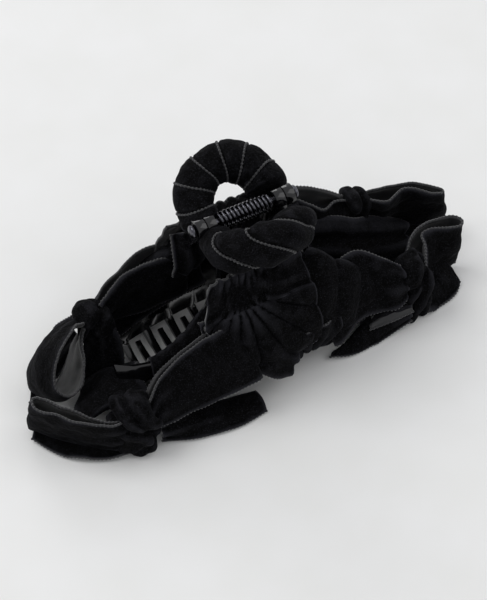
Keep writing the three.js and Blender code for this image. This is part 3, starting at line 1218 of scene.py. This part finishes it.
def front_left_bow() -> Bow:
    """The bow at the front left corner: a long loop at the end and a wide one over the jaw."""
    body, hand = Body.FRONT, "left"
    return Bow(body, hand, Knot(
        "front_left_knot", body, (-54.6, -27.4, 11.0), half=(7.2, 7.0, 11.6),
        lean=(0.05, 0.1), creases=(Crease(-24.0, 1.5, 1.7), Crease(38.0, -5.0), Crease(-62.0, 2.5)),
        replaces=bow_nodes(body, hand, "knot"), seed=1,
    ), (
        Ribbon("front_left_end_loop", body, (
            Stop((-57.5, -30.0, 10.0), (0, -1, 9), 12),
            Stop((-63.5, -29.6, 10.8), (-0.9, -2.4, 16), 17),
            Stop((-69.5, -25.5, 11.2), (-2.0, -3.0, 16), 19),
            Stop((-76.0, -19.3, 11.6), (-3.0, -3.4, 16), 19.5),
            Stop((-82.0, -12.6, 12.0), (-2.0, -6.0, 18), 20),
            Stop((-83.3, -9.8, 12.2), (-1.0, -5.0, 18), 20),
            Stop((-81.2, -9.0, 12.2), (-0.5, -4.0, 18), 20),
            Stop((-76.0, -14.6, 12.0), (-0.5, -4.0, 18), 19),
            Stop((-70.0, -21.0, 11.6), (-0.5, -4.0, 18), 17),
            Stop((-63.5, -25.4, 11.0), (-0.5, -3.0, 14), 14),
            Stop((-57.5, -26.5, 10.5), (0, -1, 9), 11),
        ), bow_nodes(body, hand, "outer_loop"), pile_up=False, crown=0.4, seed=2),
        Ribbon("front_left_end_tail", body, (
            Stop((-55.0, -27.6, 3.4), (2, 6, 1.2), 9),
            Stop((-64.0, -23.6, 2.6), (3, 7, 0.8), 13),
            Stop((-73.4, -16.6, 1.9), (5, 8, 0.5), 14),
            Stop((-82.6, -9.0, 2.0), (5, 7, 0), 5),
        ), bow_nodes(body, hand, "outer_tail"), Held.LAID, pile_up=False,
            pinch=(True, False), seed=3),
        Ribbon("front_left_inner_lap", body, (
            Stop((-53.0, -21.0, 14.0), (9, -1, -1), 13),
            Stop((-57.0, -17.0, 13.6), (9, 3, 0), 25),
            Stop((-57.4, -11.5, 12.4), (9, 3, 0), 28),
            Stop((-53.0, -5.6, 10.0), (9, 1, 0), 22),
            Stop((-52.4, -0.6, 5.4), (9, 0, 0), 20),
        ), (), Held.LAID, pile_up=False, crown=1.4, pinch=(True, False), seed=18),
        Ribbon("front_left_wide_loop", body, (
            Stop((-49.5, -29.6, 14.0), (0, 3, 9), 11),
            Stop((-43.0, -29.0, 19.0), (0, 7, 14), 17),
            Stop((-31.5, -28.6, 22.6), (0, 9, 17.6), 21),
            Stop((-22.5, -28.6, 24.4), (-3, 10, 17.6), 22),
            Stop((-15.6, -28.4, 25.0), (-6.0, 11.6, 17), 22),
            Stop((-14.0, -27.0, 24.6), (-6.0, 11.6, 17), 21.5),
            Stop((-17.5, -25.4, 23.8), (-5, 11.0, 17), 21),
            Stop((-30.0, -25.2, 21.2), (-1, 9, 17), 20),
            Stop((-42.0, -25.2, 17.4), (0, 6, 12), 16),
            Stop((-49.0, -26.4, 13.4), (0, 3, 9), 11),
        ), bow_nodes(body, hand, "inner_loop"), pile_up=True, crown=1.0, seed=4),
        Ribbon("front_left_upper_lap", body, (
            Stop((-25.0, -20.4, 25.4), (-1, 7, 19), 19),
            Stop((-17.0, -22.4, 25.6), (-1, 7, 19), 20),
            Stop((-9.5, -25.4, 23.6), (2, 8, 19), 20),
            Stop((-3.0, -28.2, 19.0), (5, 8, 18), 19),
            Stop((4.0, -28.6, 13.0), (6, 4, 18), 16),
        ), (), Held.GATHERED, pile_up=True, crown=1.6, pinch=(False, True), seed=19),
        Ribbon("front_left_long_tail", body, (
            Stop((-46.5, -29.6, 6.0), (0, -1.2, -8), 9.5),
            Stop((-38.0, -31.2, 4.8), (0, -5, -6), 10.2),
            Stop((-29.0, -32.2, 3.4), (0, -7, -4), 10.2),
            Stop((-20.0, -32.6, 2.4), (0, -8, -2.4), 10.2),
            Stop((-10.6, -32.2, 1.6), (0, -8, -1.4), 8),
        ), bow_nodes(body, hand, "inner_tail"), Held.LAID, pile_up=False,
            pinch=(True, False), crown=2.2, seed=5),
    ))


def front_right_bow() -> Bow:
    """The bow at the front right corner, whose wide loop is draped over the jaw."""
    body, hand = Body.FRONT, "right"
    return Bow(body, hand, Knot(
        "front_right_knot", body, (53.8, -19.6, 12.0), half=(5.9, 6.6, 12.4),
        lean=(0.04, 0.12), creases=(Crease(66.0, 1.0, 1.5), Crease(74.0, -4.0), Crease(30.0, 5.5)),
        replaces=bow_nodes(body, hand, "knot"), seed=2,
    ), (
        Ribbon("front_right_end_loop", body, (
            Stop((56.5, -20.5, 13.0), (0, -1, 9), 12),
            Stop((60.3, -16.6, 13.4), (1.0, 2.4, 17), 17),
            Stop((62.6, -12.6, 13.2), (0.6, 4.4, 18), 20),
            Stop((66.5, -11.0, 12.8), (0.4, 3.6, 18), 21),
            Stop((71.5, -10.8, 12.5), (0.4, 1.2, 19), 21),
            Stop((76.3, -11.4, 12.2), (0.8, -0.8, 19), 21),
            Stop((77.6, -10.2, 12.6), (0.8, 0.4, 19), 21),
            Stop((75.0, -8.6, 13.0), (0.4, 1.6, 19), 21),
            Stop((69.6, -7.4, 13.4), (0, 1.4, 19), 21),
            Stop((63.4, -7.4, 13.6), (0, 2.0, 19), 20),
            Stop((58.9, -10.0, 13.6), (0, 2.4, 18), 18),
            Stop((55.4, -15.0, 13.6), (0, 2, 10), 12),
        ), bow_nodes(body, hand, "outer_loop"), pile_up=True, crown=0.5, wave=1.0, seed=6),
        Ribbon("front_right_end_tail", body, (
            Stop((56.5, -20.5, 5.6), (-1, 6, 5), 12),
            Stop((62.6, -17.8, 5.0), (-1, 7, 6), 17),
            Stop((69.0, -15.0, 4.4), (-1, 7, 5), 18),
            Stop((72.5, -13.0, 3.4), (-2, 8, 3), 12),
        ), bow_nodes(body, hand, "outer_tail"), Held.LAID, pile_up=True,
            pinch=(True, False), crown=1.8, seed=7),
        Ribbon("front_right_wide_loop", body, (
            Stop((49.6, -21.6, 18.0), (0, 4, 9), 12),
            Stop((44.6, -21.6, 19.8), (0, 7, 12), 18),
            Stop((39.0, -19.4, 21.6), (0, 8, 15), 22),
            Stop((33.5, -18.4, 22.4), (1, 9, 15), 23),
            Stop((28.0, -19.4, 21.6), (1, 10, 15), 24),
            Stop((22.5, -22.0, 19.6), (1, 10, 15), 24),
            Stop((20.0, -21.6, 18.6), (1, 10, 15), 23),
            Stop((25.0, -18.6, 19.0), (1, 10, 15), 22),
            Stop((34.0, -17.0, 19.6), (0, 9, 15), 21),
            Stop((42.0, -17.6, 18.6), (0, 8, 13), 17),
            Stop((48.5, -18.6, 16.5), (0, 4, 9), 12),
        ), bow_nodes(body, hand, "inner_loop"), pile_up=False, crown=1.6, wave=0.9, seed=8),
        Ribbon("front_right_long_tail", body, (
            Stop((50.0, -25.0, 7.6), (0.5, 2.4, 7), 9),
            Stop((43.6, -25.2, 7.2), (1.4, 3.6, 8), 12),
            Stop((36.5, -25.0, 5.6), (3, 4, 6), 13),
            Stop((28.0, -25.6, 3.2), (5, 4, 3), 10),
            Stop((20.3, -26.2, 1.4), (7, 2, 1), 3),
        ), bow_nodes(body, hand, "inner_tail"), Held.LAID, pile_up=False,
            pinch=(True, False), crown=1.0, seed=9),
        Ribbon("front_right_turned_back", body, (
            Stop((50.4, -22.6, 13.4), (0, 3, 4), 14),
            Stop((46.4, -22.6, 13.4), (0, 3.6, 3.6), 14),
            Stop((41.6, -23.2, 11.6), (1, 3.6, 2.6), 11),
            Stop((35.4, -24.2, 9.0), (2, 3, 2), 6),
        ), (), Held.FOLDED, pile_up=True, crown=1.6, pleat=0.8, wave=1.2, seed=20),
    ))


def rear_left_bow() -> Bow:
    """The bow at the rear left corner: its end loop stands open towards the front."""
    body, hand = Body.REAR, "left"
    return Bow(body, hand, Knot(
        "rear_left_knot", body, (-50.0, 11.6, 20.0), half=(5.9, 6.2, 7.4),
        lean=(-0.08, -0.1), creases=(Crease(-30.0, -3.0, 1.4), Crease(48.0, 2.5)),
        replaces=bow_nodes(body, hand, "knot"), seed=3,
    ), (
        Ribbon("rear_left_end_loop", body, (
            Stop((-54.5, 12.0, 19.6), (0, -5, 6), 12),
            Stop((-61.0, 10.4, 21.8), (1.0, -6.4, 7), 19),
            Stop((-68.0, 7.4, 19.6), (1.2, -7.0, 7), 22),
            Stop((-73.4, 3.6, 14.4), (1.5, -7.2, 6.7), 22),
            Stop((-74.4, -0.6, 10.2), (1.5, -7.2, 6.7), 22),
            Stop((-71.0, -3.4, 8.4), (1.5, -7.2, 6.7), 22),
            Stop((-66.0, -2.4, 9.4), (1.5, -7.2, 6.7), 21),
            Stop((-62.2, 1.6, 12.8), (1.0, -6.4, 7), 19),
            Stop((-59.0, 6.8, 16.6), (0, -5, 7), 15),
            Stop((-54.0, 10.4, 18.4), (0, -4, 7), 11),
        ), bow_nodes(body, hand, "outer_loop"), pile_up=True, crown=1.2, wave=0.8, seed=10),
        Ribbon("rear_left_end_tail", body, (
            Stop((-55.0, 15.5, 12.0), (2, 7, 2), 11),
            Stop((-60.5, 16.0, 6.4), (2, 8, 1), 16),
            Stop((-67.5, 14.0, 2.4), (4, 8, 0), 18),
            Stop((-74.0, 10.0, 1.5), (5, 8, 0), 16),
        ), bow_nodes(body, hand, "outer_tail"), Held.LAID, pile_up=False,
            pinch=(True, False), seed=11),
        Ribbon("rear_left_wide_loop", body, (
            Stop((-47.5, 11.6, 20.0), (0, 0, 9), 12),
            Stop((-42.6, 12.8, 21.8), (0.4, 0.6, 15), 16),
            Stop((-35.6, 12.6, 24.2), (0.4, 1.4, 17), 19),
            Stop((-27.0, 11.2, 26.2), (1.6, 2.6, 17), 20),
            Stop((-19.4, 10.2, 26.2), (-1.0, 2.4, 14), 17),
            Stop((-16.4, 12.2, 26.8), (-1.0, 2.4, 14), 16),
            Stop((-20.4, 15.2, 27.4), (0, 2.4, 17), 18),
            Stop((-29.0, 16.4, 26.4), (0, 2.0, 17), 19),
            Stop((-38.4, 15.8, 23.6), (0, 1.4, 15), 17.5),
            Stop((-47.0, 14.0, 19.8), (0, 0, 9), 12),
        ), bow_nodes(body, hand, "inner_loop"), pile_up=True, crown=1.4, wave=0.9, seed=12),
        Ribbon("rear_left_hanging_tail", body, (
            Stop((-49.4, 9.6, 18.6), (9, -3, 1), 9),
            Stop((-50.0, 5.4, 14.4), (9, -3, 1), 12),
            Stop((-51.6, 1.8, 8.6), (9, -2, 1), 14),
            Stop((-53.4, -1.4, 2.4), (9, -1, 1), 14),
        ), (), Held.FOLDED, pile_up=True, crown=0.9, pinch=(True, False), seed=25),
        Ribbon("rear_left_hinge_lap", body, (
            Stop((-14.8, 12.8, 44.0), (9, -1, 0), 10.5),
            Stop((-15.0, 9.8, 40.5), (9, -1, 0), 12),
            Stop((-15.6, 8.2, 35.5), (9, 1, 0), 12.5),
            Stop((-17.0, 9.6, 30.5), (9, 2, 0), 11),
        ), (), Held.GATHERED, pile_up=True, crown=2.2, seed=27),
        Ribbon("rear_left_long_tail", body, (
            Stop((-48.0, 17.5, 13.5), (0, -2, 7), 9),
            Stop((-38.0, 25.0, 10.0), (0, -5, 8), 16),
            Stop((-26.0, 30.5, 7.5), (0, -6, 8), 18),
            Stop((-14.0, 33.0, 7.0), (0, -6, 8), 17),
        ), bow_nodes(body, hand, "inner_tail"), Held.LAID, pile_up=False,
            pinch=(True, False), seed=13),
    ))


def rear_right_bow() -> Bow:
    """The bow at the rear right corner: a long end loop with a waved upper edge."""
    body, hand = Body.REAR, "right"
    return Bow(body, hand, Knot(
        "rear_right_knot", body, (49.6, 14.6, 19.2), half=(5.3, 5.8, 9.6),
        lean=(0.0, -0.05), creases=(Crease(72.0, 0.5, 1.4), Crease(-70.0, -1.5)),
        replaces=bow_nodes(body, hand, "knot"), seed=4,
    ), (
        Ribbon("rear_right_end_loop", body, (
            Stop((52.6, 12.4, 19.6), (0, -1, 9), 12),
            Stop((58.4, 9.2, 17.4), (-1, -4.4, 15), 18),
            Stop((62.4, 9.8, 16.8), (-1, -4.6, 16), 19.5),
            Stop((66.4, 10.2, 16.2), (-1, -3.6, 18), 21),
            Stop((70.4, 8.2, 15.2), (-2, -2.6, 19), 22),
            Stop((75.0, 5.4, 14.4), (-3, -3.4, 19.4), 22),
            Stop((79.4, 4.2, 14.0), (-3.4, -4.4, 19.6), 22),
            Stop((80.6, 5.6, 14.2), (-3.4, -4.2, 19.6), 22),
            Stop((77.0, 8.2, 14.8), (-2, -3.0, 19.6), 22),
            Stop((70.0, 11.4, 16.0), (-1, -2.0, 19), 21),
            Stop((62.0, 13.8, 17.4), (0, -2.0, 17), 18),
            Stop((53.4, 14.6, 19.4), (0, 0, 9), 12),
        ), bow_nodes(body, hand, "outer_loop"), pile_up=True, crown=0.2, wave=0.8, seed=14),
        Ribbon("rear_right_end_tail", body, (
            Stop((52.0, 13.0, 11.0), (-1, 6, 6), 12),
            Stop((60.0, 11.5, 6.0), (-1, 8, 5), 17),
            Stop((68.0, 10.0, 3.2), (-2, 9, 3), 18),
            Stop((76.0, 9.5, 2.2), (-3, 9, 1), 16),
        ), bow_nodes(body, hand, "outer_tail"), Held.LAID, pile_up=True,
            pinch=(True, False), crown=1.2, wave=1.0, seed=15),
        Ribbon("rear_right_inner_lap", body, (
            Stop((29.0, 8.2, 17.6), (0.2, 0.7, 1.8), 20),
            Stop((36.0, 5.6, 16.4), (0.4, 0.7, 1.8), 21),
            Stop((44.0, 3.4, 13.4), (0.5, 0.8, 1.8), 21),
            Stop((51.0, 3.4, 10.6), (0.6, 0.8, 1.7), 20),
            Stop((58.0, 3.6, 7.4), (0.7, 1.0, 1.4), 18),
            Stop((66.0, 4.6, 4.4), (0.4, 1.4, 1.0), 14),
        ), (), Held.FOLDED, pile_up=True, crown=1.6, pinch=(True, True), pleat=1.6,
            reach=16.0, wave=1.6, seed=26),
        Ribbon("rear_right_wide_loop", body, (
            Stop((46.4, 12.8, 20.6), (0, 0, 9), 12),
            Stop((42.0, 11.8, 20.4), (0, 1.6, 9), 16),
            Stop((36.6, 9.2, 19.8), (0, 2.0, 9), 19),
            Stop((32.0, 11.4, 22.4), (0, 2.2, 9), 20),
            Stop((26.0, 15.4, 25.4), (0, 2.2, 9), 20),
            Stop((23.5, 17.4, 26.8), (0, 2.2, 9), 20),
            Stop((28.0, 17.6, 26.6), (0, 1.6, 9), 20),
            Stop((36.0, 16.4, 25.0), (0, 1.4, 9), 18),
            Stop((45.6, 15.0, 21.6), (0, 0, 9), 12),
        ), bow_nodes(body, hand, "inner_loop"), pile_up=False, crown=0.6, wave=0.8, seed=16),
        Ribbon("rear_right_long_tail", body, (
            Stop((47.0, 17.5, 13.5), (0, -2, 7), 9),
            Stop((37.0, 25.0, 10.0), (0, -5, 8), 16),
            Stop((26.0, 30.5, 7.5), (0, -6, 8), 18),
            Stop((14.0, 33.0, 7.0), (0, -6, 8), 17),
        ), bow_nodes(body, hand, "inner_tail"), Held.LAID, pile_up=True,
            pinch=(True, False), seed=17),
    ))


# ---- One half of the clip ----


@dataclass
class Half:
    """A jaw with all that is on it."""

    body: Body
    covers: tuple[JawCover, ...]
    wrap: HandleWrap
    bows: tuple[Bow, ...]

    def build(self, finishes: Finishes) -> None:
        """Makes every piece of this half and reports it."""
        trim = SelvedgeTrim(self.body, finishes)
        made = [Moulding(self.body).build(finishes), self.wrap.build(finishes, trim)]
        made += [cover.build(finishes, trim) for cover in self.covers]
        for bow in self.bows:
            made += bow.build(finishes, trim)
        made.append(trim.build())
        for piece in made:
            LOG.info("%s: %d faces", piece.name, len(piece.data.polygons))


def front_half() -> Half:
    """The front half, whose fan and gathers face the viewer."""
    body = Body.FRONT
    covers = (
        JawCover(
            "front_fan_velvet", body, -24.0, 14.0, ("front_fan",), low=0.0, high=46.0,
            collar=(14.0, 49.0), lift=3.6, ruche=0.6,
            gathers=(Gather(-11.0, 58.0, count=19.0, depth=1.4, reach=36.0),), seed=21,
        ),
        JawCover(
            "front_gather_velvet", body, -14.0, 22.0, ("front_gather",), low=-52.0, high=12.0,
            lift=2.6, puff=2.0, ruche=0.9,
            gathers=(Gather(10.0, -36.0, count=15.0, depth=1.4, reach=26.0),), seed=22,
        ),
        JawCover(
            "front_left_sleeve_velvet", body, -42.0, -9.0, ("front_left_sleeve",),
            inner=24.0, lift=0.7, puff=0.3, ruche=0.5, seed=23,
        ),
        JawCover(
            "front_right_sleeve_velvet", body, 10.0, 43.0, ("front_right_sleeve",),
            inner=20.0, lift=2.6, ruche=1.3, fold_every=9.5, drift=-2.4, seed=24,
        ),
    )
    front_wrap = HandleWrap(
        body, turns=4, lap=0.42, slant=0.5, centre_z=55.8, centre_y=8.8, radius=7.1, seed=6,
    )
    return Half(body, covers, front_wrap, (front_left_bow(), front_right_bow()))


def rear_half() -> Half:
    """The rear half, whose lining shows over the teeth."""
    body = Body.REAR
    covers = (
        JawCover(
            "rear_fan_velvet", body, -24.0, 22.0, ("rear_fan",), low=0.0, high=46.0,
            collar=(14.0, 47.0), ruche=0.8,
            gathers=(Gather(0.0, 42.0, count=19.0, depth=1.0, reach=30.0),), seed=31,
        ),
        JawCover(
            "rear_gather_velvet", body, -14.0, 14.0, ("rear_gather",), low=-52.0, high=12.0,
            lift=2.6, puff=2.0, gathers=(Gather(2.0, -38.0, count=15.0, depth=1.2, reach=24.0),),
            seed=32,
        ),
        JawCover(
            "rear_left_sleeve_velvet", body, -44.0, -6.0, ("rear_left_sleeve",),
            inner=-42.0, lift=1.4, ruche=0.9, seed=33,
        ),
        JawCover(
            "rear_right_sleeve_velvet", body, 6.0, 43.0, ("rear_right_sleeve",),
            inner=-24.0, lift=1.4, ruche=0.9, seed=34,
        ),
    )
    return Half(body, covers, HandleWrap(body, turns=7, last=204.0), (
        rear_left_bow(), rear_right_bow(),
    ))


# ---- Studio ----


@dataclass(frozen=True)
class Studio:
    """A pale paper sweep under soft light, and the camera."""

    azimuth: float = -28.0
    elevation: float = 50.0
    distance: float = 0.9
    lens: float = 167.4
    aim: Point = (-0.0102, -0.0192, 0.0397)
    floor_half: float = 3.0

    def floor(self) -> None:
        """Lays the paper."""
        h = self.floor_half / MM
        corners = np.array([(-h, -h, 0), (h, -h, 0), (h, h, 0), (-h, h, 0)])
        made = make_object("paper", corners, [(0, 1, 2, 3)], (PaperFloor().build(),))

    def light(self, name: str, at: Point, size: float, watts: float) -> None:
        """Hangs a square softbox that faces the clip."""
        lamp = bpy.data.lights.new(name, "AREA")
        lamp.size = size
        lamp.energy = watts
        made = bpy.data.objects.new(name, lamp)
        made.location = at
        made.rotation_euler = (Vector((0, 0, 0.02)) - Vector(at)).to_track_quat("-Z", "Y").to_euler()
        bpy.context.scene.collection.objects.link(made)

    def lights(self) -> None:
        """Sets a pale room and three softboxes."""
        world = bpy.data.worlds.new("studio")
        world.use_nodes = True
        world.node_tree.nodes["Background"].inputs["Color"].default_value = colour("#f6f7fa")
        world.node_tree.nodes["Background"].inputs["Strength"].default_value = 0.62
        bpy.context.scene.world = world
        self.light("key softbox", (-0.9, 0.55, 1.5), 1.1, 13.0)
        self.light("fill softbox", (0.9, -0.5, 1.3), 1.2, 4.0)
        self.light("rim softbox", (0.2, 1.5, 0.7), 0.8, 5.0)

    def camera(self) -> None:
        """Places the camera."""
        a, e = math.radians(self.azimuth), math.radians(self.elevation)
        back = Vector((math.sin(a) * math.cos(e), -math.cos(a) * math.cos(e), math.sin(e)))
        data = bpy.data.cameras.new("camera")
        data.lens = self.lens
        data.clip_start = 0.01
        made = bpy.data.objects.new("camera", data)
        made.location = Vector(self.aim) + back * self.distance
        made.rotation_euler = (-back).to_track_quat("-Z", "Y").to_euler()
        bpy.context.scene.collection.objects.link(made)
        bpy.context.scene.camera = made

    def build(self) -> None:
        """Makes the set."""
        self.camera()
        self.lights()
        self.floor()
        bpy.context.scene.view_settings.view_transform = "Standard"


def main() -> None:
    """Builds the set and the clip, and reports each piece."""
    logging.basicConfig(level=logging.INFO, format="%(message)s")
    Studio().build()
    finishes = Finishes.make()
    hinge = Hinge()
    for piece in (hinge.pin(finishes), hinge.spring(finishes)):
        LOG.info("%s: %d faces", piece.name, len(piece.data.polygons))
    front_half().build(finishes)
    rear_half().build(finishes)


if __name__ == "__main__":
    main()
